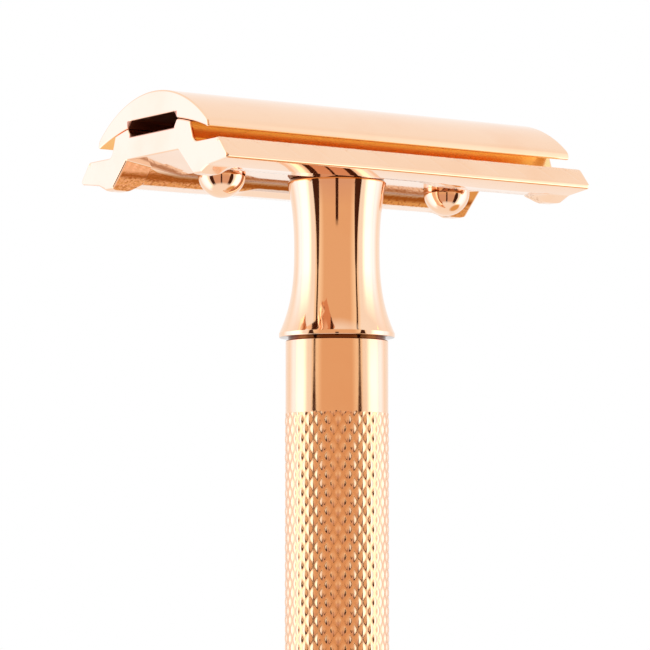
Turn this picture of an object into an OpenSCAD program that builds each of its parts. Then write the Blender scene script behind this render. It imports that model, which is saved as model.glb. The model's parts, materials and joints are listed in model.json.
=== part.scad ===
// Three-piece double-edge safety razor, standing on the flat end of its knob.
// Millimetres. Z is the handle axis, X runs along the safety bars, Y across the head.
// Heights inside the head are measured from the seat, where the base plate meets the handle.

/* [Handle] */
// Height of the seat above the flat end of the knob
seat_z = 87; // [80:0.5:110]
// Diameter across the knurled grip
grip_d = 10.2; // [9.8:0.1:11]
// Diameter of the smooth bands of the grip
band_d = 10.1; // [9.6:0.1:10.8]
// Height of the upper smooth band
band_h = 7.2; // [4:0.2:10]
// Height of the lower smooth band
lower_band_h = 4; // [2:0.2:8]
// Height of the neck above the grip
neck_h = 15.9; // [14:0.1:20]
// Diameter of the neck where it meets the head
neck_top_d = 9.9; // [9.4:0.1:10.4]
// Diameter of the neck at its waist
neck_waist_d = 8.5; // [8.2:0.1:9]
// Diameter of the lips of the neck and the knob
lip_d = 11.4; // [10.6:0.1:12.4]
// Height of the end knob
knob_h = 9; // [8.5:0.5:13]
// Diameter of the knob at its waist
knob_waist_d = 9.6; // [9.2:0.1:10.2]

/* [Head] */
// Length of the cap and the base plate
head_len = 42.9; // [42.4:0.1:43.4]
// Width across the two safety bars
bar_w = 26.3; // [25.6:0.1:27]
// Width across the two edges of the cap
cap_w = 20.1; // [19.6:0.1:20.6]
// Height of the cap's crest above the seat
crest_h = 7; // [6.7:0.1:7.6]
// Radius of the top of the cap
cap_r = 14.6; // [14:0.1:16]

/* [Clamping screw and posts] */
// Distance between the two alignment posts
post_spacing = 27; // [26.6:0.1:27.2]
// Diameter of the posts
post_d = 4.65; // [4.2:0.05:4.65]
// How far the posts stand out below the seat
post_drop = 2.7; // [1.8:0.1:3.4]
// Diameter of the clamping screw
stud_d = 4.96; // [4.9:0.01:4.98]
// How far the clamping screw reaches into the handle
stud_reach = 6.6; // [6:0.2:7.4]

/* [Hidden] */

rose_gold = [0.91, 0.62, 0.46];
steel = [0.78, 0.79, 0.8];
brass = [0.83, 0.69, 0.38];
round_fn = 96;
over = 1;

// The curve on which the head bends a blade, given by the underside of the cap.
bend_r = 27.5;
bend_top = 4.26;
bend_centre = bend_top - bend_r;
clamp_gap = 0.05;

// Cap
cap_roof = 4.55;
recess_half = 3.85;
recess_chamfer = 0.55;
// How deep the clamping screw and the posts are set into the cap.
root_depth = 1.3;

// Base plate section, half width and height pairs named by what they bound
channel_floor = 3.07;
ridge_out = 6.5;
hump_y = 7.25;
trough_r = 0.72;
land_z = 1.38;
land_out = 11.5;
face_top = [12.05, 0.98];
face_low = [bar_w / 2, -0.45];
bar_bottom = -0.72;
foot_out = 8.6;
foot_in = 7.34;
foot_z = -1.75;
ceiling_half = 5.6;
end_ceiling_half = 4.64;
end_ceiling_z = 0.89;
end_ceiling_x = 21.4;
ramp_ceiling_x = 14.5;
foot_x = 19.7;
cutaway_x = 17.9;
cutaway_z = -1;
pocket_half_top = 6.2;
pocket_half_low = 7.3;
post_bore_d = post_d + 0.14;
stud_pass_d = 5.4;

// Clamping screw and neck bush
stud_chamfer = 0.5;
seat_gap = 0.03;
bush_d = 6.6;
bush_top_gap = 0.3;
bush_len = 9;
bush_bore_d = stud_d + 0.1;

// Grip, rod and knob
grip_low = knob_h;
grip_high = seat_z - neck_h;
knurl_low = grip_low + lower_band_h;
knurl_high = grip_high - band_h;
bore_d = 8;
spigot_h = 3;
rod_d = 7.8;
rod_thread_d = 6;
rod_thread_up = 6;
rod_thread_down = 8.2;
thread_end_gap = 0.3;
rod_chamfer = 0.6;
rim_r = 0.35;
waist_depth = 6.9;
lip_rim = 0.42;
lip_groove_h = 0.28;
lip_groove_d = 9.6;
knob_foot_h = 2.6;
knob_edge_r = 1.1;

// Points of an arc from one angle to the other.
function arc(centre, r, from, to, steps) =
    [for (i = [0 : steps]) let (a = from + (to - from) * i / steps)
        [centre[0] + r * cos(a), centre[1] + r * sin(a)]];

// Smooth change from one height to another, as t goes from 0 to 1.
function ease(t) = (1 - cos(180 * t)) / 2;

// An outline in Y and Z, extruded along X about the middle.
module along_x(length) {
    rotate([90, 0, 90])
        linear_extrude(height = length, center = true)
            children();
}

// An outline in X and Z, extruded along Y about the middle.
module along_y(length) {
    rotate([90, 0, 0])
        linear_extrude(height = length, center = true)
            children();
}

module both_sides() {
    children();
    mirror([1, 0, 0]) children();
}

// A closed outline from the points of its right half, listed from the top to the bottom.
module mirrored_outline(half) {
    last = len(half) - 1;
    polygon(concat(half, [for (i = [last : -1 : 0]) [-half[i][0], half[i][1]]]));
}

// ---------- Cap ----------

module cap_section() {
    difference() {
        intersection() {
            translate([0, crest_h - cap_r]) circle(r = cap_r, $fn = round_fn);
            translate([-cap_w / 2, 0]) square([cap_w, crest_h + over]);
        }
        translate([0, bend_centre]) circle(r = bend_r, $fn = 2 * round_fn);
        mirrored_outline([[recess_half, cap_roof],
                          [recess_half + recess_chamfer, cap_roof - recess_chamfer],
                          [recess_half + recess_chamfer, 0]]);
    }
}

module cap() {
    color(rose_gold)
        translate([0, 0, seat_z])
            difference() {
                along_x(head_len) cap_section();
                cylinder(d = stud_d, h = cap_roof + root_depth, $fn = round_fn);
                for (x = [-post_spacing / 2, post_spacing / 2])
                    translate([x, 0, 0])
                        cylinder(d = post_d, h = cap_roof + root_depth, $fn = round_fn);
            }
}

module cap_stud() {
    half = stud_d / 2;
    top = cap_roof + root_depth;
    color(steel)
        translate([0, 0, seat_z])
            rotate_extrude($fn = round_fn)
                polygon([[0, -stud_reach], [half - stud_chamfer, -stud_reach],
                         [half, stud_chamfer - stud_reach], [half, top], [0, top]]);
}

// A round post with a domed end.
module post(x) {
    half = post_d / 2;
    color(rose_gold)
        translate([x, 0, seat_z - post_drop + half]) {
            cylinder(d = post_d, h = cap_roof + root_depth + post_drop - half, $fn = round_fn);
            sphere(d = post_d, $fn = round_fn);
        }
}

module post_left() {
    post(-post_spacing / 2);
}

module post_right() {
    post(post_spacing / 2);
}

// ---------- Base plate ----------

// The section across the bars, before the top of the ridges is curved.
module base_blank() {
    mirrored_outline(concat(
        [[recess_half, channel_floor],
         [recess_half + recess_chamfer, channel_floor + recess_chamfer],
         [recess_half + recess_chamfer, crest_h], [ridge_out, crest_h],
         [hump_y, land_z + trough_r]],
        arc([hump_y + trough_r, land_z + trough_r], trough_r, 190, 270, 6),
        [[land_out, land_z], face_top, face_low, [bar_w / 2 - 0.1, bar_bottom],
         [foot_out, foot_z], [foot_in, foot_z], [ceiling_half, 0]]));
}

// The ridges follow the curve of the cap's underside, which clamps a blade onto them.
module base_section() {
    intersection() {
        base_blank();
        translate([0, bend_centre])
            circle(r = bend_r - clamp_gap, $fn = 2 * round_fn);
    }
}

// The underside recess at the ends, where the ceiling rises.
module end_recess() {
    intersection() {
        along_x(head_len + over)
            mirrored_outline([[end_ceiling_half, end_ceiling_z], [ceiling_half, 0],
                              [ceiling_half, -0.2]]);
        both_sides()
            along_y(bar_w)
                polygon([[ramp_ceiling_x, -0.2], [ramp_ceiling_x, 0],
                         [end_ceiling_x, end_ceiling_z], [head_len, end_ceiling_z],
                         [head_len, -0.2]]);
    }
}

// What is cut away between the four feet, with a smooth rise from each foot.
module middle_cutaway() {
    steps = 10;
    span = foot_x - cutaway_x;
    rise = cutaway_z - foot_z;
    along_y(bar_w + over)
        mirrored_outline(concat(
            [for (i = [0 : steps]) [cutaway_x + span * i / steps, cutaway_z - rise * ease(i / steps)]],
            [[foot_x, foot_z - over]]));
}

// The inner walls of the bars stand further out between the feet.
module middle_pocket() {
    along_x(2 * cutaway_x)
        mirrored_outline([[pocket_half_top, 0], [pocket_half_low, cutaway_z],
                          [pocket_half_low + 1, foot_z]]);
}

module base_plate() {
    color(rose_gold)
        translate([0, 0, seat_z])
            difference() {
                along_x(head_len) base_section();
                end_recess();
                middle_cutaway();
                middle_pocket();
                translate([0, 0, -over]) cylinder(d = stud_pass_d, h = 6, $fn = round_fn);
                for (x = [-post_spacing / 2, post_spacing / 2])
                    translate([x, 0, -over]) cylinder(d = post_bore_d, h = 6, $fn = round_fn);
            }
}

// ---------- Handle ----------

// Radius of the neck at a depth below the seat: a waist between the rim and the lip.
function neck_r(depth) = depth < waist_depth
    ? neck_waist_d / 2 + (neck_top_d - neck_waist_d) / 2 * pow(1 - depth / waist_depth, 1.7)
    : neck_waist_d / 2 + (lip_d - neck_waist_d) / 2
        * pow((depth - waist_depth) / (neck_h - lip_groove_h - lip_rim - waist_depth), 2.6);

module neck() {
    steps = 28;
    lip_low = neck_h - lip_groove_h;
    body_h = lip_low - lip_rim;
    color(rose_gold)
        translate([0, 0, seat_z])
            difference() {
                union() {
                    rotate_extrude($fn = round_fn)
                        polygon(concat(
                            [[0, -neck_h], [0, -seat_gap], [neck_top_d / 2 - rim_r, -seat_gap]],
                            [for (i = [0 : steps]) let (d = rim_r + (body_h - rim_r) * i / steps)
                                [neck_r(d), -d]],
                            [[lip_d / 2, -lip_low], [lip_groove_d / 2, -lip_low],
                             [lip_groove_d / 2, -neck_h]]));
                    translate([0, 0, -neck_h - spigot_h])
                        cylinder(d = bore_d, h = spigot_h + over, $fn = round_fn);
                }
                translate([0, 0, -bush_len - bush_top_gap])
                    cylinder(d = bush_d, h = bush_len + bush_top_gap + over, $fn = round_fn);
                translate([0, 0, -neck_h - spigot_h - over])
                    cylinder(d = rod_thread_d, h = neck_h + spigot_h, $fn = round_fn);
            }
}

module neck_bush() {
    color(brass)
        translate([0, 0, seat_z - bush_top_gap - bush_len])
            difference() {
                cylinder(d = bush_d, h = bush_len, $fn = round_fn);
                translate([0, 0, -over])
                    cylinder(d = bush_bore_d, h = bush_len + 2 * over, $fn = round_fn);
            }
}

module grip_sleeve() {
    color(rose_gold)
        difference() {
            union() {
                translate([0, 0, grip_low])
                    cylinder(d = band_d, h = grip_high - grip_low, $fn = round_fn);
                translate([0, 0, knurl_low])
                    cylinder(d = grip_d, h = knurl_high - knurl_low, $fn = round_fn);
            }
            translate([0, 0, grip_low - over])
                cylinder(d = bore_d, h = grip_high - grip_low + 2 * over, $fn = round_fn);
        }
}

module core_rod() {
    body_low = grip_low + spigot_h;
    body_high = grip_high - spigot_h;
    thread_half = rod_thread_d / 2;
    low_end = body_low - rod_thread_down;
    high_end = body_high + spigot_h + rod_thread_up - thread_end_gap;
    color(steel)
        rotate_extrude($fn = round_fn)
            polygon([[0, low_end], [thread_half - rod_chamfer, low_end],
                     [thread_half, low_end + rod_chamfer], [thread_half, body_low],
                     [rod_d / 2, body_low], [rod_d / 2, body_high],
                     [thread_half, body_high], [thread_half, high_end - rod_chamfer],
                     [thread_half - rod_chamfer, high_end], [0, high_end]]);
}

// The knob has a flat foot with a rounded edge, a hollow waist and a lip like the neck's.
module end_knob() {
    lip_half = lip_d / 2;
    waist_sag = (lip_d - knob_waist_d) / 2;
    half_height = (knob_h - lip_rim - knob_foot_h) / 2;
    hollow_r = (pow(half_height, 2) + pow(waist_sag, 2)) / (2 * waist_sag);
    hollow_angle = asin(half_height / hollow_r);
    hollow_centre = [lip_half - waist_sag + hollow_r, knob_foot_h + half_height];
    thread_low = grip_low + spigot_h - rod_thread_down - thread_end_gap;
    color(rose_gold)
        difference() {
            union() {
                rotate_extrude($fn = round_fn)
                    polygon(concat(
                        [[0, 0]],
                        arc([lip_half - knob_edge_r, knob_edge_r], knob_edge_r, -90, 0, 8),
                        arc(hollow_centre, hollow_r, 180 + hollow_angle, 180 - hollow_angle, 14),
                        [[lip_half, knob_h], [0, knob_h]]));
                translate([0, 0, knob_h - over])
                    cylinder(d = bore_d, h = spigot_h + over, $fn = round_fn);
            }
            translate([0, 0, thread_low])
                cylinder(d = rod_thread_d, h = knob_h + spigot_h, $fn = round_fn);
        }
}

cap();
cap_stud();
post_left();
post_right();
base_plate();
neck();
neck_bush();
grip_sleeve();
core_rod();
end_knob();
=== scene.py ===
import json
import math

import bmesh
import bpy
import numpy as np
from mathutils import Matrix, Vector


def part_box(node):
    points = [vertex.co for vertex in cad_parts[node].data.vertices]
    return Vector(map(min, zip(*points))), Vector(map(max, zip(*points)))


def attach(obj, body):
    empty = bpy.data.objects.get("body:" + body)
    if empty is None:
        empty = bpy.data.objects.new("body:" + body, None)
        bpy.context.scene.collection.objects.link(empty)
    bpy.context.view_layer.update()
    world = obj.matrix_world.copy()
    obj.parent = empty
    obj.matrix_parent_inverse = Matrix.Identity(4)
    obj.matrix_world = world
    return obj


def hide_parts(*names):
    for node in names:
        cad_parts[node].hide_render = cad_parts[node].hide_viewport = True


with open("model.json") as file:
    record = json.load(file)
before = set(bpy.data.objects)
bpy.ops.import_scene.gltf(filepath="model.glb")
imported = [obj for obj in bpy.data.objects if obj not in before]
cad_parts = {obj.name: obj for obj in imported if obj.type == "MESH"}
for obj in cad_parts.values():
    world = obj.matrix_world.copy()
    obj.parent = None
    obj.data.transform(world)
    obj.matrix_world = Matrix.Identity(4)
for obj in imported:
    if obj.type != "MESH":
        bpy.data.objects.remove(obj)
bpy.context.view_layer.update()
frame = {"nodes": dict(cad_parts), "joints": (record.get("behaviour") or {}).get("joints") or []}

MM = 0.001

# ---------- What the frame says, in millimetres ----------


def node_box(name):
    """The lowest and highest corners of a CAD node, in millimetres."""
    low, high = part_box(name)
    return np.array(low) / MM, np.array(high) / MM


SEAT = frame["joints"][0]["pos_m"][2] / MM
CAP_LOW, CAP_HIGH = node_box("cap")
NECK_LOW, NECK_HIGH = node_box("neck")
GRIP_LOW, GRIP_HIGH = node_box("grip_sleeve")
KNOB_LOW, KNOB_HIGH = node_box("end_knob")
STUD_LOW, STUD_HIGH = node_box("cap_stud")
POST_LOW, POST_HIGH = node_box("post_right")

HEAD_HALF = CAP_HIGH[0]
CAP_HALF = CAP_HIGH[1]
CREST = CAP_HIGH[2] - SEAT
POST_X = (POST_LOW[0] + POST_HIGH[0]) / 2
POST_R = (POST_HIGH[1] - POST_LOW[1]) / 2
POST_BOTTOM = POST_LOW[2] - SEAT
STUD_R = STUD_HIGH[0]
STUD_BOTTOM = STUD_LOW[2] - SEAT
GRIP_R = GRIP_HIGH[0]
LIP_R = KNOB_HIGH[0]
SPIGOT = KNOB_HIGH[2] - GRIP_LOW[2]
SLEEVE_BORE_R = 4.0
ROD_THREAD_R = 3.0

# ---------- Sizes of the head's section, in millimetres above the seat ----------

CAP_R = 14.6
CAP_ROLL_R = 1.6
BEND_R = 27.5
BEND_TOP = 4.26
CAP_TIP_INSET = 0.06
CAP_TIP_TILT = 80
CAP_TIP_DROP = 0.32
CAP_TIP_FILLET = 0.21
CLAMP_GAP = 0.05
CAP_ROOF = 4.55
RECESS_HALF = 3.85
RECESS_CHAMFER = 0.55
RECESS_FILLET = 0.14
CHANNEL_FLOOR = 3.07
RIDGE_OUT = 6.72
RIDGE_FILLET = 0.28
TROUGH_IN = 7.42
TROUGH_FILLET = 0.7
LAND_Z = 1.38
LAND_OUT = 11.6
LAND_FILLET = 0.5
FACE_LOW = (13.36, -0.68)
FACE_LOW_FILLET = 0.32
FOOT_Z = -1.83
FOOT_IN = 7.44
FOOT_OUT = 8.6
FOOT_END_RISE = 0.25
FOOT_END_LENGTH = 0.9
FOOT_X = 19.7
CUTAWAY_X = 17.9
POCKET = 0.65
POCKET_FADE = 0.3
WALL_SLOPE = 1.0425
WALL_FILLET = (1.15, 0.4)
END_CEILING_Z = 0.89
CEILING_RAMP = (14.5, 21.4)
BELLY_Y = 9.9
BELLY_Z = (-0.96, -1.1)
BELLY_START = 3
BELLY_LENGTH = 9
BELLY_FILLET = 1.2
BELLY_STEP = 0.06
NECK_RELIEF = 0.35
NECK_RELIEF_X = (4.5, 7)
GROOVE_PITCH = 3.35
GROOVE_DEPTH = 0.09
GROOVE_HALF = 0.16
GROOVE_SKEW = 2.0
GROOVE_ROWS = 6
GROOVE_STEPS = 32
EDGE_BEVEL = 0.18
FILLET = 0.26


# ---------- Outlines ----------


def unit(v):
    return v / np.linalg.norm(v)


def rounded_outline(corners, steps=6):
    """A closed outline of (u, v, fillet radius) corners, each fillet an arc of equally many points."""
    points = []
    count = len(corners)
    for i, (u, v, radius) in enumerate(corners):
        here = np.array([u, v])
        if radius == 0:
            points.append(here)
            continue
        before = unit(np.array(corners[i - 1][:2]) - here)
        after = unit(np.array(corners[(i + 1) % count][:2]) - here)
        half = math.acos(np.clip(before @ after, -1, 1)) / 2
        reach = radius / math.tan(half)
        centre = here + unit(before + after) * radius / math.sin(half)
        start = here + before * reach - centre
        end = here + after * reach - centre
        turn = math.atan2(start[0] * end[1] - start[1] * end[0], start @ end)
        for k in range(steps + 1):
            c, s = math.cos(turn * k / steps), math.sin(turn * k / steps)
            points.append(centre + np.array([c * start[0] - s * start[1], s * start[0] + c * start[1]]))
    return np.array(points)


def inset_outline(points, distance):
    """The closed outline moved inwards; it runs clockwise with inside on its right."""
    edges = np.roll(points, -1, axis=0) - points
    edges /= np.linalg.norm(edges, axis=1)[:, None]
    inward = np.stack([edges[:, 1], -edges[:, 0]], axis=1)
    joint = inward + np.roll(inward, 1, axis=0)
    scale = 2 / np.maximum((joint**2).sum(axis=1), 0.6)
    return points + joint * scale[:, None] * distance


def arc_height(y, radius, top):
    """Height at y of a circle whose highest point is at top on the middle line."""
    return top - radius + math.sqrt(radius * radius - y * y)


def mirrored(half):
    """Corners of a whole outline from its +Y half, which starts and ends near the middle."""
    return half + [(-y, z, r) for y, z, r in reversed(half)]


def ease(t):
    """Smooth step from 0 to 1 as t goes from 0 to 1."""
    t = min(max(t, 0.0), 1.0)
    return (1 - math.cos(math.pi * t)) / 2


# ---------- Mesh helpers ----------


def mesh_object(name, vertices, faces):
    """A mesh object from points in millimetres."""
    mesh = bpy.data.meshes.new(name)
    mesh.from_pydata([tuple(c * MM for c in v) for v in vertices], [], faces)
    obj = bpy.data.objects.new(name, mesh)
    bpy.context.scene.collection.objects.link(obj)
    return obj


def smooth_shading(obj, sharp_angle=35):
    """Outward normals, smooth faces, and sharp edges where faces meet at more than an angle."""
    bm = bmesh.new()
    bm.from_mesh(obj.data)
    bmesh.ops.remove_doubles(bm, verts=bm.verts, dist=1e-7)
    bmesh.ops.recalc_face_normals(bm, faces=bm.faces)
    for face in bm.faces:
        face.smooth = True
    for edge in bm.edges:
        if len(edge.link_faces) == 2:
            edge.smooth = edge.calc_face_angle(0) < math.radians(sharp_angle)
    bm.to_mesh(obj.data)
    bm.free()


def apply_modifiers(obj):
    """Bakes the object's modifiers into its mesh."""
    bpy.context.view_layer.update()
    mesh = bpy.data.meshes.new_from_object(obj.evaluated_get(bpy.context.evaluated_depsgraph_get()))
    obj.modifiers.clear()
    before = obj.data
    obj.data = mesh
    bpy.data.meshes.remove(before)


def cut(obj, cutters):
    """Subtracts each cutter from obj and deletes the cutters."""
    for cutter in cutters:
        modifier = obj.modifiers.new("cut", "BOOLEAN")
        modifier.operation = "DIFFERENCE"
        modifier.solver = "EXACT"
        modifier.object = cutter
    apply_modifiers(obj)
    for cutter in cutters:
        bpy.data.objects.remove(cutter)


def even_shading(obj):
    """Normals weighted by face area, so that flat faces shade flat beside narrow roundings."""
    modifier = obj.modifiers.new("weighted", "WEIGHTED_NORMAL")
    modifier.keep_sharp = True
    modifier.weight = 80
    apply_modifiers(obj)


def sweep_x(name, stations, sections):
    """A closed solid through one (y, z) section for each station along X."""
    vertices, faces = [], []
    count = len(sections[0])
    for x, section in zip(stations, sections):
        vertices += [(x, y, SEAT + z) for y, z in section]
    for i in range(len(stations) - 1):
        for k in range(count):
            a, b = i * count + k, i * count + (k + 1) % count
            faces.append((a, b, b + count, a + count))
    faces.append(tuple(range(count - 1, -1, -1)))
    faces.append(tuple(range((len(stations) - 1) * count, len(stations) * count)))
    return mesh_object(name, vertices, faces)


def bevelled_sweep(name, half_length, bevel, inner_stations, section_at):
    """A sweep along X whose two end edges are rounded, by insetting the section near the ends."""
    inset = {}
    for angle in (90, 60, 30, 0):
        x = half_length - bevel * (1 - math.sin(math.radians(angle)))
        for side in (1, -1):
            inset[round(side * x, 6)] = bevel * (1 - math.cos(math.radians(angle)))
    inner = {round(x, 6) for x in inner_stations if abs(x) < half_length - bevel - 0.02}
    stations = sorted(set(inset) | inner)
    sections = [inset_outline(section_at(x), inset.get(x, 0)) for x in stations]
    return sweep_x(name, stations, sections)


def lathe(name, outline, segments=160, z0=0.0, x0=0.0):
    """A solid of revolution from a closed (radius, height) outline, about a vertical axis at x0."""
    vertices, faces = [], []
    count = len(outline)
    for s in range(segments):
        a = 2 * math.pi * s / segments
        vertices += [(x0 + r * math.cos(a), r * math.sin(a), z0 + z) for r, z in outline]
    for s in range(segments):
        t = (s + 1) % segments
        for k in range(count):
            m = (k + 1) % count
            if outline[k][0] < 1e-6 and outline[m][0] < 1e-6:
                continue
            faces.append((s * count + k, t * count + k, t * count + m, s * count + m))
    obj = mesh_object(name, vertices, faces)
    smooth_shading(obj)
    return obj


def rod_cutter(radius, low, high, x=0.0):
    """A round rod along Z, from low to high above the seat."""
    return lathe("cutter", [(0, low), (0, high), (radius, high), (radius, low)], 96, SEAT, x)


def finish_piece(obj, body, slot, material, *nodes):
    """Gives a new piece its material and its body, and hides the CAD nodes that it stands for; the slot is
    not used.
    """
    obj.data.materials.clear()
    obj.data.materials.append(material)
    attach(obj, body)
    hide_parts(*nodes)


# ---------- Head ----------


def cap_section(_x):
    """A round top that rolls over more tightly at the edges, and a hollow underside with a channel."""
    tip_y = CAP_HALF - CAP_TIP_INSET
    tip_tilt = math.radians(CAP_TIP_TILT)
    roll_tilt = math.asin((tip_y - CAP_ROLL_R * math.sin(tip_tilt)) / (CAP_R - CAP_ROLL_R))
    top = [(CAP_R * math.sin(t), CREST - CAP_R + CAP_R * math.cos(t), 0)
           for t in np.linspace(0.012, roll_tilt, 40)]
    start_y, start_z, _radius = top[-1]
    roll = [(start_y + CAP_ROLL_R * (math.sin(t) - math.sin(roll_tilt)),
             start_z + CAP_ROLL_R * (math.cos(t) - math.cos(roll_tilt)), 0)
            for t in np.linspace(roll_tilt, tip_tilt - 0.35, 8)[1:]]
    tip_z = start_z + CAP_ROLL_R * (math.cos(tip_tilt) - math.cos(roll_tilt)) - CAP_TIP_DROP
    tip = [(tip_y, tip_z, CAP_TIP_FILLET)]
    under = [(y, arc_height(y, BEND_R, BEND_TOP), 0)
             for y in np.linspace(tip_y - 0.5, RECESS_HALF + 0.9, 15)]
    edge_y = RECESS_HALF + RECESS_CHAMFER
    channel = [
        (edge_y, arc_height(edge_y, BEND_R, BEND_TOP), FILLET),
        (RECESS_HALF, CAP_ROOF, RECESS_FILLET),
    ]
    return rounded_outline(mirrored(top + roll + tip + under + channel))


def make_cap(material):
    cap = bevelled_sweep("razor_cap", HEAD_HALF, EDGE_BEVEL, [-HEAD_HALF / 2, 0, HEAD_HALF / 2], cap_section)
    smooth_shading(cap)
    even_shading(cap)
    finish_piece(cap, "top", "rose_gold_plate", material, "cap")


def wall_y(z, extra):
    """Inner face of a bar: it leans in towards the ceiling, and is moved outwards by extra."""
    return FOOT_IN - WALL_SLOPE * (z - FOOT_Z) + extra


def plate_section(x):
    """The base plate's section at x: the underside changes along the length."""
    along = abs(x)
    near_end = min(max(along - (HEAD_HALF - FOOT_END_LENGTH), 0) / FOOT_END_LENGTH, 1)
    foot_z = FOOT_Z + FOOT_END_RISE * (1 - math.sqrt(1 - near_end**2))
    belly = BELLY_Z[0] + (BELLY_Z[1] - BELLY_Z[0]) * ease((along - BELLY_START) / BELLY_LENGTH)
    relief_from, relief_to = NECK_RELIEF_X
    relief = NECK_RELIEF * (1 - ease((along - relief_from) / (relief_to - relief_from)))
    inner_edge = belly + BELLY_STEP + relief
    bottom = inner_edge + (foot_z - belly) * ease((along - CUTAWAY_X) / (FOOT_X - CUTAWAY_X))
    ramp_from, ramp_to = CEILING_RAMP
    ceiling = END_CEILING_Z * max(0, (along - ramp_from) / (ramp_to - ramp_from))
    pocket = POCKET * (1 - ease((along - CUTAWAY_X - 0.1) / POCKET_FADE))
    wide, tight = WALL_FILLET
    wall_fillet = wide - (wide - tight) * ease(along - CUTAWAY_X + 1)
    bend_r = BEND_R - CLAMP_GAP
    bend_top = BEND_TOP - CLAMP_GAP
    edge_y = RECESS_HALF + RECESS_CHAMFER
    half = [(0.2, CHANNEL_FLOOR, 0), (RECESS_HALF, CHANNEL_FLOOR, RECESS_FILLET),
            (edge_y, arc_height(edge_y, bend_r, bend_top), FILLET)]
    half += [(y, arc_height(y, bend_r, bend_top), 0) for y in np.linspace(edge_y + 0.3, RIDGE_OUT - 0.62, 5)]
    half += [(RIDGE_OUT, arc_height(RIDGE_OUT, bend_r, bend_top), RIDGE_FILLET),
             (TROUGH_IN, LAND_Z, TROUGH_FILLET),
             (LAND_OUT, LAND_Z, LAND_FILLET)]
    half += [(LAND_OUT + t * (FACE_LOW[0] - LAND_OUT), LAND_Z + t * (FACE_LOW[1] - LAND_Z), 0)
             for t in np.linspace(0.16, 0.72, 8)]
    half += [
        (*FACE_LOW, FACE_LOW_FILLET),
        (BELLY_Y, belly, BELLY_FILLET),
        (FOOT_OUT, bottom, FILLET),
        (wall_y(bottom, pocket), bottom, FILLET),
        (wall_y(ceiling, pocket), ceiling, wall_fillet),
        (0.2, ceiling, 0),
    ]
    return grooved(rounded_outline(mirrored(half)), x)


def grooved(points, x):
    """Presses fine slanting grooves into the sloping front faces, one for each pitch along the bar."""
    inward = unit(np.array([LAND_Z - FACE_LOW[1], FACE_LOW[0] - LAND_OUT]))
    moved = points.copy()
    for i, (y, z) in enumerate(points):
        down = (LAND_Z - z) / (LAND_Z - FACE_LOW[1])
        side = 1 if y > 0 else -1
        place = -side * x - GROOVE_SKEW * (down - 0.5)
        if abs(y) < LAND_OUT - 0.2 or down > 0.9 or abs(place) > (GROOVE_ROWS + 0.5) * GROOVE_PITCH:
            continue
        from_groove = abs((place / GROOVE_PITCH + 0.5) % 1.0 - 0.5) * GROOVE_PITCH
        fade = ease((down - 0.02) / 0.12) * ease((0.78 - down) / 0.2)
        depth = GROOVE_DEPTH * (1 - ease(from_groove / GROOVE_HALF)) * fade
        moved[i] -= np.array([side * inward[0], inward[1]]) * depth
    return moved


def make_base_plate(material):
    step = GROOVE_PITCH / GROOVE_STEPS
    reach = math.ceil(HEAD_HALF / step)
    middle = [k * step for k in range(-reach, reach + 1)]
    plate = bevelled_sweep("razor_base_plate", HEAD_HALF, EDGE_BEVEL, middle, plate_section)
    smooth_shading(plate)
    cutters = [rod_cutter(POST_R + 0.07, -1, 5, x) for x in (-POST_X, POST_X)]
    cutters.append(rod_cutter(STUD_R + 0.22, -1, 5))
    cut(plate, cutters)
    smooth_shading(plate, 28)
    even_shading(plate)
    finish_piece(plate, "guard", "rose_gold_plate", material, "base_plate")


def make_post(name, x, material, node):
    """An alignment post with a domed end, which meets the roof of the cap's channel in a small fillet."""
    quarter = np.linspace(0, math.pi / 2, 24)
    fillet = 0.25
    dome = [(POST_R * math.sin(a), POST_BOTTOM + POST_R * (1 - math.cos(a))) for a in quarter]
    root = [(POST_R + fillet * (1 - math.cos(a)), CAP_ROOF - fillet * (1 - math.sin(a)))
            for a in quarter[::4]]
    post = lathe(name, dome + root + [(0, CAP_ROOF)], 96, SEAT, x)
    finish_piece(post, "top", "rose_gold_plate", material, node)


def thread_radius(angle, z, crest, root, pitch):
    """Radius of a right-hand screw thread at an angle and a height."""
    phase = (z / pitch - angle / (2 * math.pi)) % 1.0
    flank = min(max((abs(2 * phase - 1) - 0.16) / 0.6, 0.0), 1.0)
    return crest - (crest - root) * flank


def make_stud(material):
    """The clamping screw: a right-hand thread with a chamfered tip and a plain shank under the cap."""
    pitch, segments = 0.8, 96
    crest, root = STUD_R - 0.03, STUD_R - 0.5
    low, high = STUD_BOTTOM, CAP_ROOF
    thread_top = high - 1.2
    heights = list(np.arange(low, thread_top, pitch / 12)) + [thread_top, high]
    vertices, faces = [(0, 0, SEAT + low)], []
    for z in heights:
        for s in range(segments):
            angle = 2 * math.pi * s / segments
            radius = thread_radius(angle, z, crest, root, pitch) if z < thread_top else root + 0.1
            radius = min(radius, root + (z - low))
            vertices.append((radius * math.cos(angle), radius * math.sin(angle), SEAT + z))
    for s in range(segments):
        t = (s + 1) % segments
        faces.append((0, 1 + t, 1 + s))
        for r in range(len(heights) - 1):
            a, b = 1 + r * segments, 1 + (r + 1) * segments
            faces.append((a + s, a + t, b + t, b + s))
    last = 1 + (len(heights) - 1) * segments
    faces.append(tuple(range(last, last + segments)))
    stud = mesh_object("razor_screw", vertices, faces)
    smooth_shading(stud, 40)
    finish_piece(stud, "top", "screw_steel", material, "cap_stud")


# ---------- Handle ----------

NECK_FLARE_DEPTH = 15.2
NECK_LIP_DEPTH = 15.62
LOWER_BAND = 4.0
UPPER_BAND = 7.2


def neck_radius(depth):
    """Radius of the neck at a depth below the seat."""
    waist_depth, waist_r, top_r = 6.9, 4.22, 4.95
    if depth < waist_depth:
        return waist_r + (top_r - waist_r) * (1 - depth / waist_depth) ** 2.2
    return waist_r + (LIP_R - waist_r) * ((depth - waist_depth) / (NECK_FLARE_DEPTH - waist_depth)) ** 2.6


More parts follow.
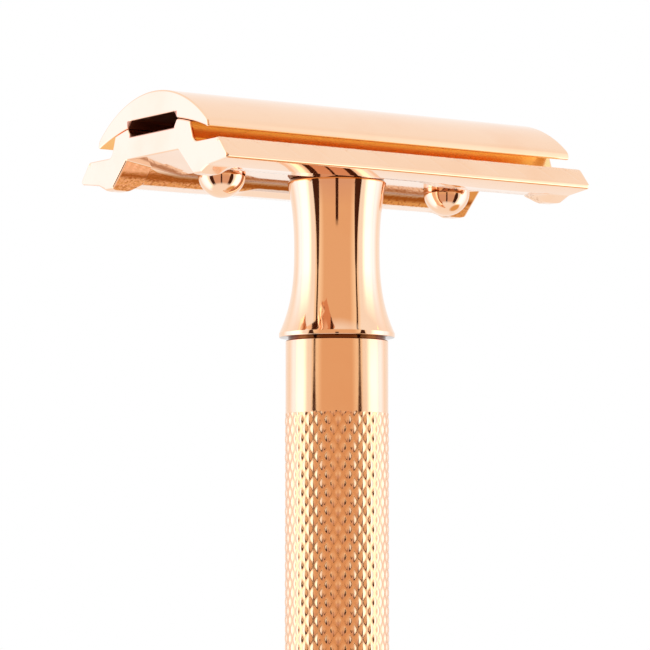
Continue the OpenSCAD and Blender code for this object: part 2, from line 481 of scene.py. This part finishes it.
def make_neck(material):
    """The neck: a waist, a flare to a sharp lip, and a dark groove under the lip."""
    top, low = NECK_HIGH[2] - SEAT, GRIP_HIGH[2] - SEAT
    bush_r, bush_end, groove_r, rim = 3.3, -9.3, 4.8, 0.35
    side = [(neck_radius(-z), z, 0) for z in np.linspace(-0.75, -15.0, 60)]
    outline = [
        (bush_r, top, 0.12),
        (neck_radius(0) - rim, top, 0.05),
        (neck_radius(rim), top - rim, 0.05),
    ] + side + [
        (LIP_R, -NECK_FLARE_DEPTH, 0.06),
        (LIP_R, -NECK_LIP_DEPTH, 0.1),
        (groove_r, -NECK_LIP_DEPTH, 0),
        (groove_r, low, 0),
        (SLEEVE_BORE_R, low, 0),
        (SLEEVE_BORE_R, low - SPIGOT, 0.2),
        (ROD_THREAD_R, low - SPIGOT, 0.2),
        (ROD_THREAD_R, bush_end, 0),
        (bush_r, bush_end, 0),
    ]
    neck = lathe("razor_neck", rounded_outline(outline), 224, SEAT)
    smooth_shading(neck, 26)
    even_shading(neck)
    finish_piece(neck, "handle", "rose_gold_plate", material, "neck")


def make_knob(material):
    """The end knob: a flat foot with a rounded edge, a hollow waist and a lip like the neck's."""
    height, foot_h, edge_r, lip_rim, waist_r, thread_end = GRIP_LOW[2], 2.6, 1.1, 0.5, 4.8, 3.5
    half_height = (height - lip_rim - foot_h) / 2
    sag = LIP_R - waist_r
    hollow_r = (half_height**2 + sag**2) / (2 * sag)
    reach = math.asin(half_height / hollow_r)
    hollow = [(waist_r + hollow_r * (1 - math.cos(a)), foot_h + half_height + hollow_r * math.sin(a), 0)
              for a in np.linspace(reach * 0.93, -reach * 0.93, 30)]
    outline = [
        (ROD_THREAD_R, height + SPIGOT, 0.2),
        (SLEEVE_BORE_R, height + SPIGOT, 0.2),
        (SLEEVE_BORE_R, height, 0),
        (LIP_R, height, 0.12),
        (LIP_R, height - lip_rim, 0.08),
    ] + hollow + [
        (LIP_R, foot_h, 0.12),
        (LIP_R, 0, edge_r),
        (0, 0, 0),
        (0, thread_end, 0),
        (ROD_THREAD_R, thread_end, 0),
    ]
    knob = lathe("razor_end_knob", rounded_outline(outline, 8), 224)
    smooth_shading(knob, 26)
    even_shading(knob)
    finish_piece(knob, "handle", "rose_gold_plate", material, "end_knob")


def knurl_height(around, up):
    """0 in the grooves and 1 on the tops of the diamonds, at a tooth count around and up."""
    height = 1.0
    for t in (up + around, up - around):
        from_groove = abs((t + 0.5) % 1.0 - 0.5)
        height *= ease(from_groove / 0.46)
    return height


def grip_rows(teeth_step, band_r, knurl_low, knurl_high):
    """(height, radius, knurled) for each ring of the sleeve's outside, from the bottom to the top."""
    low, high, edge = GRIP_LOW[2], GRIP_HIGH[2], 0.12
    corner = [(edge * (1 - math.sin(a)), edge * (1 - math.cos(a))) for a in (0, 0.52, 1.05, math.pi / 2)]
    rows = [(low, SLEEVE_BORE_R, False)]
    rows += [(low + up, band_r - inward, False) for inward, up in corner]
    rows += [(knurl_low - up, band_r, False) for up in (0.14, 0.02)]
    count = round((knurl_high - knurl_low) / teeth_step)
    rows += [(knurl_low + i * (knurl_high - knurl_low) / count, GRIP_R, True) for i in range(count + 1)]
    rows += [(knurl_high + up, band_r, False) for up in (0.02, 0.14)]
    rows += [(high - up, band_r - inward, False) for inward, up in reversed(corner)]
    rows.append((high, SLEEVE_BORE_R, False))
    return rows


def make_grip(material):
    """The sleeve: smooth bands at both ends and cut diamond knurling between them."""
    teeth, per_tooth, tooth_h, depth = 32, 10, 1.76, 0.1
    knurl_low, knurl_high = GRIP_LOW[2] + LOWER_BAND, GRIP_HIGH[2] - UPPER_BAND
    segments = teeth * per_tooth
    rows = grip_rows(tooth_h / per_tooth, GRIP_R - 0.05, knurl_low, knurl_high)
    first = next(i for i, row in enumerate(rows) if row[2])
    vertices, faces = [], []
    for z, outer_r, knurled in rows:
        for s in range(segments):
            angle = 2 * math.pi * s / segments
            radius = outer_r
            if knurled:
                radius -= depth * (1 - knurl_height(s / per_tooth, (z - knurl_low) / tooth_h))
            vertices.append((radius * math.cos(angle), radius * math.sin(angle), z))
    for r, row in enumerate(rows):
        q = (r + 1) % len(rows)
        for s in range(segments):
            t = (s + 1) % segments
            a, b, c, d = r * segments + s, r * segments + t, q * segments + t, q * segments + s
            if not (row[2] and rows[q][2]):
                faces.append((a, b, c, d))
                continue
            up = r - first
            from_rising = min((s - up) % per_tooth, (up - s) % per_tooth)
            from_falling = min((s + up + 1) % per_tooth, (-s - up - 1) % per_tooth)
            if from_rising <= from_falling:
                faces += [(a, b, c), (a, c, d)]
            else:
                faces += [(a, b, d), (b, c, d)]
    grip = mesh_object("razor_grip_sleeve", vertices, faces)
    smooth_shading(grip, 60)
    finish_piece(grip, "handle", "rose_gold_plate", material, "grip_sleeve")


# ---------- Materials ----------

ROSE_GOLD = (0.97, 0.665, 0.46)
ROSE_GOLD_DEEP = (0.95, 0.6, 0.39)
YELLOW_GOLD = (0.97, 0.74, 0.37)
# Orange painted on the top of the neck as a reflection.
RIM_REFLECTION_ORANGE = (0.9, 0.42, 0.14)
# Near-black brown painted on the neck as shade, under the head and in the groove under the lip.
NECK_SHADE_DARK = (0.16, 0.05, 0.015)
# Darker orange painted into the knurl's grooves as shade.
GROOVE_SHADE_ORANGE = (0.9, 0.52, 0.29)
# Brown painted into the base plate's recesses as shade.
RECESS_SHADE_BROWN = (0.46, 0.18, 0.05)
# Brown painted into the channels between cap and plate as shade.
CHANNEL_SHADE_BROWN = (0.45, 0.22, 0.15)
CHANNEL_EDGE = RECESS_HALF + RECESS_CHAMFER
STEEL = (0.62, 0.62, 0.63)
STEEL_DARK = (0.44, 0.44, 0.46)
BRASS = (0.83, 0.62, 0.3)
BRASS_DARK = (0.6, 0.4, 0.17)


class Shader:
    """A Principled material under construction, with short ways to add the nodes that materials share."""

    def __init__(self, name):
        self.material = bpy.data.materials.new(name)
        self.material.use_nodes = True
        self.nodes = self.material.node_tree.nodes
        self.links = self.material.node_tree.links
        self.principled = self.nodes["Principled BSDF"]
        self.place = self.nodes.new("ShaderNodeTexCoord").outputs["Object"]
        axes = self.nodes.new("ShaderNodeSeparateXYZ")
        self.links.new(self.place, axes.inputs["Vector"])
        self.x, self.y, self.z = axes.outputs[:3]
        self.principled.inputs["Metallic"].default_value = 1.0

    def math(self, operation, first, second=0.0):
        node = self.nodes.new("ShaderNodeMath")
        node.operation = operation
        for socket, value in zip(node.inputs, (first, second)):
            if isinstance(value, (int, float)):
                socket.default_value = value
            else:
                self.links.new(value, socket)
        return node.outputs["Value"]

    def between(self, value, low, high, to_low=0.0, to_high=1.0):
        """The value's place between low and high, spread over to_low and to_high."""
        node = self.nodes.new("ShaderNodeMapRange")
        for name, number in (("From Min", low), ("From Max", high), ("To Min", to_low), ("To Max", to_high)):
            node.inputs[name].default_value = number
        self.links.new(value, node.inputs["Value"])
        return node.outputs["Result"]

    def fade(self, value, low_mm, high_mm):
        """0 to 1 between two distances in millimetres."""
        return self.between(value, low_mm * MM, high_mm * MM)

    def fade_up(self, low_mm, high_mm):
        """0 to 1 between two heights above the seat, in millimetres."""
        return self.fade(self.z, SEAT + low_mm, SEAT + high_mm)

    def noise(self, grain_mm, stretch=(1, 1, 1), detail=4.0):
        """Noise whose grain is grain_mm, and stretch times as fine along X, Y and Z."""
        mapping = self.nodes.new("ShaderNodeMapping")
        mapping.inputs["Scale"].default_value = stretch
        self.links.new(self.place, mapping.inputs["Vector"])
        texture = self.nodes.new("ShaderNodeTexNoise")
        texture.inputs["Scale"].default_value = 1 / (grain_mm * MM)
        texture.inputs["Detail"].default_value = detail
        self.links.new(mapping.outputs["Vector"], texture.inputs["Vector"])
        return texture.outputs["Fac"]

    def colour(self, factor, first, second):
        mix = self.nodes.new("ShaderNodeMix")
        mix.data_type = "RGBA"
        for socket, value in ((mix.inputs[6], first), (mix.inputs[7], second)):
            if isinstance(value, tuple):
                socket.default_value = (*value, 1)
            else:
                self.links.new(value, socket)
        self.links.new(factor, mix.inputs[0])
        return mix.outputs[2]

    def input_of(self, name):
        """What feeds an input of the Principled node so far."""
        return self.principled.inputs[name].links[0].from_socket

    def set(self, name, value):
        self.links.new(value, self.principled.inputs[name])

    def bump(self, height, depth_mm, strength=1.0):
        """Adds a relief of depth_mm on top of what the surface has already."""
        node = self.nodes.new("ShaderNodeBump")
        node.inputs["Distance"].default_value = depth_mm * MM
        if isinstance(strength, float):
            node.inputs["Strength"].default_value = strength
        else:
            self.links.new(strength, node.inputs["Strength"])
        self.links.new(height, node.inputs["Height"])
        normal = self.principled.inputs["Normal"]
        if normal.is_linked:
            self.links.new(normal.links[0].from_socket, node.inputs["Normal"])
        self.links.new(node.outputs["Normal"], normal)


def plated(name, first=ROSE_GOLD, second=ROSE_GOLD_DEEP):
    """Polished plating: a slight drift of colour, polishing haze and a very faint waviness."""
    shader = Shader(name)
    shader.set("Base Color", shader.colour(shader.between(shader.noise(6), 0.45, 0.85), first, second))
    shader.set("Roughness", shader.between(shader.noise(1.2, detail=6), 0.3, 0.7, 0.03, 0.075))
    shader.bump(shader.noise(3.5, detail=2), 0.004)
    return shader


def cap_material():
    """The cap is buffed along its length, and its channel is left dull and painted brown as shade."""
    shader = plated("rose_gold_buffed")
    across = shader.math("ABSOLUTE", shader.y)
    # Painted shade: the cap's channel is coloured brown.
    channel = shader.math("MULTIPLY", shader.fade_up(CAP_ROOF + 0.06, CAP_ROOF),
                          shader.fade(across, CHANNEL_EDGE + 0.1, CHANNEL_EDGE))
    shader.set("Base Color", shader.colour(channel, shader.input_of("Base Color"), CHANNEL_SHADE_BROWN))
    dull = shader.math("MULTIPLY", channel, 0.4)
    shader.set("Roughness", shader.math("ADD", shader.input_of("Roughness"), dull))
    shader.bump(shader.noise(0.5, (0.03, 1, 1)), 0.0006)
    return shader.material


def cast_material():
    """The base plate is cast: its bars and top are polished, and its recesses keep a rougher skin, painted
    brown in patches as shade, darkest low down.
    """
    shader = plated("rose_gold_cast")
    across = shader.math("ABSOLUTE", shader.y)
    along = shader.math("ABSOLUTE", shader.x)
    off_ends = shader.fade(along, HEAD_HALF - 0.2, HEAD_HALF - 0.3)
    walls = shader.math("MULTIPLY", shader.fade(across, 5.5, 5.9), shader.fade(across, 8.4, 8.1))
    walls = shader.math("MULTIPLY", walls, off_ends)
    recess = shader.math("MULTIPLY", walls, shader.fade_up(0.3, -0.1))
    skin = shader.noise(0.3, detail=3)
    shader.bump(skin, 0.04, shader.math("MULTIPLY", recess, 0.9))
    # Painted shade: brown patches on the walls of the recesses, fully brown towards their lowest part.
    deep = shader.fade_up(-0.75, -0.45)
    shade_patches = shader.math("ADD", shader.between(skin, 0.52, 0.6, 0, 0.45), deep)
    shade_patches.node.use_clamp = True
    recess_shade = shader.math("MULTIPLY", recess, shade_patches)
    above = shader.fade_up(LAND_Z - 0.5, LAND_Z - 0.3)
    trough = shader.math("MULTIPLY", above, shader.fade(across, 6.3, 6.6))
    off_edge = shader.fade(across, LAND_OUT - 0.25, LAND_OUT - 0.45)
    trough = shader.math("MULTIPLY", trough, off_edge)
    trough = shader.math("MULTIPLY", trough, off_ends)
    # Painted shade: the floor of the plate's channel is coloured brown.
    channel = shader.math("MULTIPLY", shader.fade_up(CHANNEL_FLOOR - 0.17, CHANNEL_FLOOR - 0.07),
                          shader.fade(across, RECESS_HALF + 0.25, RECESS_HALF + 0.15))
    plating = shader.input_of("Base Color")
    plating = shader.colour(recess_shade, shader.colour(trough, plating, YELLOW_GOLD), RECESS_SHADE_BROWN)
    shader.set("Base Color", shader.colour(channel, plating, CHANNEL_SHADE_BROWN))
    dull = shader.math("ADD", shader.math("MULTIPLY", trough, 0.16), shader.math("MULTIPLY", channel, 0.4))
    shader.set("Roughness", shader.math("ADD", shader.input_of("Roughness"), dull))
    edge = shader.math("MULTIPLY", above, shader.fade(across, LAND_OUT - 0.4, LAND_OUT - 0.3))
    shader.bump(shader.noise(0.2, detail=2), 0.14, shader.math("MULTIPLY", edge, 0.95))
    shader.bump(shader.noise(0.6, (0.05, 1, 1)), 0.0006)
    return shader.material


def turned_material(name="rose_gold_turned"):
    """Turned and polished: faint rings round the handle's axis."""
    shader = plated(name)
    shader.bump(shader.noise(0.5, (0.03, 0.03, 1), 5), 0.0012)
    return shader


def neck_material():
    """The neck: turned, with painted shade on the chamfer under the head and in the groove under the lip,
    and an orange band painted as a reflection just below the shade on the chamfer.
    """
    shader = turned_material("rose_gold_neck")
    # Painted shade: near-black on the chamfer under the head and in the groove under the lip, where the neck
    # lies in shade.
    neck_shade = shader.math("ADD", shader.fade_up(-0.34, -0.3),
                            shader.fade_up(0.02 - NECK_LIP_DEPTH, -NECK_LIP_DEPTH))
    # Painted reflection: an orange band just below the painted shade at the top of the neck.
    rim = shader.fade_up(-0.5, -0.42)
    plating = shader.colour(rim, shader.input_of("Base Color"), RIM_REFLECTION_ORANGE)
    shader.set("Base Color", shader.colour(neck_shade, plating, NECK_SHADE_DARK))
    return shader.material


def knurl_material():
    """The sleeve: turned bands, and knurling whose grooves are duller than the tops and painted darker and
    more orange as shade.
    """
    shader = Shader("rose_gold_knurled")
    radius = shader.math("SQRT", shader.math("ADD", shader.math("MULTIPLY", shader.x, shader.x),
                                             shader.math("MULTIPLY", shader.y, shader.y)))
    # Painted shade: the deeper into a groove, the darker and more orange the colour. The same mask also
    # makes the grooves rougher.
    depth = shader.fade(radius, GRIP_R - 0.03, GRIP_R - 0.1)
    unshaded = shader.colour(shader.between(shader.noise(6), 0.45, 0.85), ROSE_GOLD, ROSE_GOLD_DEEP)
    shader.set("Base Color", shader.colour(depth, unshaded, GROOVE_SHADE_ORANGE))
    haze = shader.between(shader.noise(1.2, detail=6), 0.3, 0.7, 0.04, 0.08)
    shader.set("Roughness", shader.math("ADD", haze, shader.math("MULTIPLY", depth, 0.16)))
    shader.bump(shader.noise(0.3, detail=3), 0.006, shader.math("MULTIPLY", depth, 0.6))
    shader.bump(shader.noise(0.5, (0.03, 0.03, 1), 5), 0.001)
    return shader.material


def steel_material(name="screw_steel_turned"):
    """Turned stainless steel with rings round the axis."""
    shader = Shader(name)
    shader.set("Base Color", shader.colour(shader.noise(1.5, detail=5), STEEL_DARK, STEEL))
    shader.set("Roughness", shader.between(shader.noise(0.6, (0.3, 0.3, 1)), 0.3, 0.7, 0.18, 0.34))
    shader.bump(shader.noise(0.2, (0.03, 0.03, 1), 5), 0.003)
    return shader.material


def brass_material():
    """Bare turned brass, with a little tarnish in patches."""
    shader = Shader("bush_brass_turned")
    patches = shader.between(shader.noise(2.2, detail=6), 0.4, 0.75)
    shader.set("Base Color", shader.colour(patches, BRASS, BRASS_DARK))
    shader.set("Roughness", shader.between(shader.noise(0.8, detail=5), 0.3, 0.7, 0.2, 0.4))
    shader.bump(shader.noise(0.2, (0.03, 0.03, 1), 5), 0.003)
    return shader.material


def floor_material():
    """Seamless white paper."""
    shader = Shader("white_paper")
    shader.principled.inputs["Metallic"].default_value = 0.0
    shader.set("Base Color", shader.colour(shader.noise(40, detail=6), (0.9, 0.9, 0.9), (0.93, 0.93, 0.93)))
    shader.set("Roughness", shader.between(shader.noise(3, detail=6), 0.3, 0.7, 0.75, 0.9))
    shader.bump(shader.noise(0.8, detail=4), 0.02)
    return shader.material


# ---------- Camera, floor and light ----------

CAMERA_AZIMUTH = math.radians(34.8)
CAMERA_ELEVATION = math.radians(-4.43)
TOWARD = Vector((
    -math.sin(CAMERA_AZIMUTH) * math.cos(CAMERA_ELEVATION),
    -math.cos(CAMERA_AZIMUTH) * math.cos(CAMERA_ELEVATION),
    math.sin(CAMERA_ELEVATION),
))
RIGHT = Vector((math.cos(CAMERA_AZIMUTH), -math.sin(CAMERA_AZIMUTH), 0))


def make_camera():
    """A long lens a little below the head, which looks up at its left end and its near bar."""
    distance, axis_right, seat_up, lens = 315.3, 1.17, 14.3, 177.2
    data = bpy.data.cameras.new("camera")
    data.lens = lens
    data.sensor_width = 36
    data.clip_start = 0.01
    data.clip_end = 20
    camera = bpy.data.objects.new("camera", data)
    bpy.context.scene.collection.objects.link(camera)
    turn = TOWARD.to_track_quat("Z", "Y")
    up = turn @ Vector((0, 1, 0))
    seat = Vector((0, 0, SEAT))
    camera.location = (seat + TOWARD * distance - RIGHT * axis_right - up * seat_up) * MM
    camera.rotation_euler = turn.to_euler()
    bpy.context.scene.camera = camera


def make_floor():
    """A wide round sheet of white paper, with its rim turned down a little."""
    outline = [(0, -3), (1500, -3), (1500, -1), (1499, 0), (0, 0)]
    floor = lathe("floor", outline, 128)
    floor.data.materials.append(floor_material())
    floor.visible_glossy = False


# Radiance of the studio round the razor near the horizon, by the angle from the camera's side.
BACKDROP = (1.0, 1.0, 1.0)
SOFTBOX = (2.1, 2.1, 2.1)
WARM_LIGHT = (1.0, 0.8, 0.58)
WARM_DIM = (0.82, 0.52, 0.31)
COOL_EDGE = (1.5, 1.42, 1.8)
GAP = (0.06, 0.02, 0.01)
STUDIO_RING = (
    (0, WARM_DIM), (34, WARM_DIM), (46, WARM_LIGHT), (57, WARM_LIGHT), (62, BACKDROP), (70, BACKDROP),
    (82, SOFTBOX), (98, SOFTBOX), (107, COOL_EDGE), (116, COOL_EDGE), (132, BACKDROP), (180, BACKDROP),
)
GAP_ANGLE = 52.5
GAP_HEIGHTS = (-20, 12)
GAP_HALF_WIDTHS = (11, 2.6)
SIDE_ANGLE = 62
SOFTBOX_FADE = (10, 34)
SHADE_FADE = (-6, -17)
STAND_FADE = (1, -2)
CEILING_FADE = (44, 56)
FLOOR_FADE = (-46, -58)
WARM_SPREAD = (22, 14)
STAND_HALF = 0.06
SHADE = (0.72, 0.44, 0.31)
WARM_PATCH = (0.75, 0.42, 0.15)


def seen_from_razor(azimuth, elevation):
    """Direction at an angle to the right of the camera's side, and an angle above the horizon."""
    a, e = math.radians(azimuth), math.radians(elevation)
    level = Vector((TOWARD.x, TOWARD.y, 0)).normalized()
    return (level * math.cos(a) + RIGHT * math.sin(a)) * math.cos(e) + Vector((0, 0, math.sin(e)))


WARM_CORNER = seen_from_razor(112, -58)


def world_math(nodes, links, operation, *values):
    node = nodes.new("ShaderNodeMath")
    node.operation = operation
    for socket, value in zip(node.inputs, values):
        if isinstance(value, (int, float)):
            socket.default_value = value
        else:
            links.new(value, socket)
    return node.outputs["Value"]


def world_dot(nodes, links, direction, axis):
    node = nodes.new("ShaderNodeVectorMath")
    node.operation = "DOT_PRODUCT"
    links.new(direction, node.inputs[0])
    node.inputs[1].default_value = axis
    return node.outputs["Value"]


def world_mix(nodes, links, factor, first, second):
    node = nodes.new("ShaderNodeMix")
    node.data_type = "RGBA"
    links.new(factor, node.inputs[0])
    for socket, value in ((node.inputs[6], first), (node.inputs[7], second)):
        if isinstance(value, tuple):
            socket.default_value = (*value, 1)
        else:
            links.new(value, socket)
    return node.outputs[2]


def world_between(nodes, links, height, degrees, values=(0, 1)):
    """Values spread between two elevations, given as degrees above the horizon."""
    node = nodes.new("ShaderNodeMapRange")
    for name, value in zip(("From Min", "From Max"), degrees):
        node.inputs[name].default_value = math.sin(math.radians(value))
    for name, value in zip(("To Min", "To Max"), values):
        node.inputs[name].default_value = value
    links.new(height, node.inputs["Value"])
    return node.outputs["Result"]


def world_smooth(nodes, links, cosine, degrees):
    """0 to 1 between two angles away from a direction, from the cosine of the angle to it."""
    node = nodes.new("ShaderNodeMapRange")
    for name, value in zip(("From Min", "From Max"), degrees):
        node.inputs[name].default_value = math.cos(math.radians(value))
    links.new(cosine, node.inputs["Value"])
    return node.outputs["Result"]


def make_studio():
    """A white studio: softboxes at the sides, a dim warm room behind the camera and dark gaps between."""
    world = bpy.data.worlds.new("studio")
    bpy.context.scene.world = world
    world.use_nodes = True
    nodes, links = world.node_tree.nodes, world.node_tree.links
    background = nodes["Background"]
    direction = nodes.new("ShaderNodeTexCoord").outputs["Generated"]
    level_toward = Vector((TOWARD.x, TOWARD.y, 0)).normalized()
    ahead = world_dot(nodes, links, direction, level_toward)
    aside = world_dot(nodes, links, direction, RIGHT)
    height = world_dot(nodes, links, direction, (0, 0, 1))
    angle = world_math(nodes, links, "ABSOLUTE", world_math(nodes, links, "ARCTAN2", aside, ahead))
    ramp = nodes.new("ShaderNodeValToRGB")
    brightest = max(SOFTBOX)
    elements = ramp.color_ramp.elements
    for degrees, _radiance in STUDIO_RING[1:-1]:
        elements.new(degrees / 180)
    for element, (_degrees, radiance) in zip(elements, STUDIO_RING):
        element.color = (*(channel / brightest for channel in radiance), 1)
    links.new(world_math(nodes, links, "DIVIDE", angle, math.pi), ramp.inputs["Fac"])
    scaled = nodes.new("ShaderNodeVectorMath")
    scaled.operation = "SCALE"
    scaled.inputs["Scale"].default_value = brightest
    links.new(ramp.outputs["Color"], scaled.inputs[0])
    side = world_math(nodes, links, "GREATER_THAN", angle, math.radians(SIDE_ANGLE))
    above = world_math(nodes, links, "MULTIPLY", side, world_between(nodes, links, height, SOFTBOX_FADE))
    gap_half = world_between(nodes, links, height, GAP_HEIGHTS, GAP_HALF_WIDTHS)
    off_gap = world_math(nodes, links, "ABSOLUTE", world_math(
        nodes, links, "SUBTRACT", world_math(nodes, links, "DEGREES", angle), GAP_ANGLE))
    in_gap = world_math(nodes, links, "SUBTRACT", gap_half, off_gap)
    in_gap.node.use_clamp = True
    front = world_math(nodes, links, "LESS_THAN", angle, math.radians(GAP_ANGLE))
    low = world_math(nodes, links, "MULTIPLY", front, world_between(nodes, links, height, SHADE_FADE))
    room = world_mix(nodes, links, above, scaled.outputs["Vector"], BACKDROP)
    room = world_mix(nodes, links, low, room, SHADE)
    stand = world_math(nodes, links, "LESS_THAN", world_math(nodes, links, "ABSOLUTE", aside), STAND_HALF)
    stand = world_math(nodes, links, "MULTIPLY", stand, world_between(nodes, links, height, STAND_FADE))
    stand = world_math(nodes, links, "MULTIPLY", stand, front)
    room = world_mix(nodes, links, stand, room, GAP)
    room = world_mix(nodes, links, in_gap, room, GAP)
    room = world_mix(nodes, links, world_between(nodes, links, height, CEILING_FADE), room, BACKDROP)
    room = world_mix(nodes, links, world_between(nodes, links, height, FLOOR_FADE), room, BACKDROP)
    cosine = world_dot(nodes, links, direction, WARM_CORNER)
    room = world_mix(nodes, links, world_smooth(nodes, links, cosine, WARM_SPREAD), room, WARM_PATCH)
    seen = nodes.new("ShaderNodeLightPath").outputs["Is Camera Ray"]
    links.new(world_mix(nodes, links, seen, room, BACKDROP), background.inputs["Color"])


# ---------- Build ----------

make_camera()
make_floor()
make_studio()
bpy.context.scene.view_settings.view_transform = "Standard"
bpy.context.scene.cycles.glossy_bounces = 10

make_cap(cap_material())
make_base_plate(cast_material())
post_material = turned_material("rose_gold_post").material
make_post("razor_post_left", -POST_X, post_material, "post_left")
make_post("razor_post_right", POST_X, post_material, "post_right")
make_stud(steel_material())
make_neck(neck_material())
make_grip(knurl_material())
make_knob(turned_material().material)

hidden_pieces = (("neck_bush", brass_material()), ("core_rod", steel_material("rod_steel_turned")))
for node_name, material in hidden_pieces:
    node = frame["nodes"][node_name]
    node.data.materials.clear()
    node.data.materials.append(material)
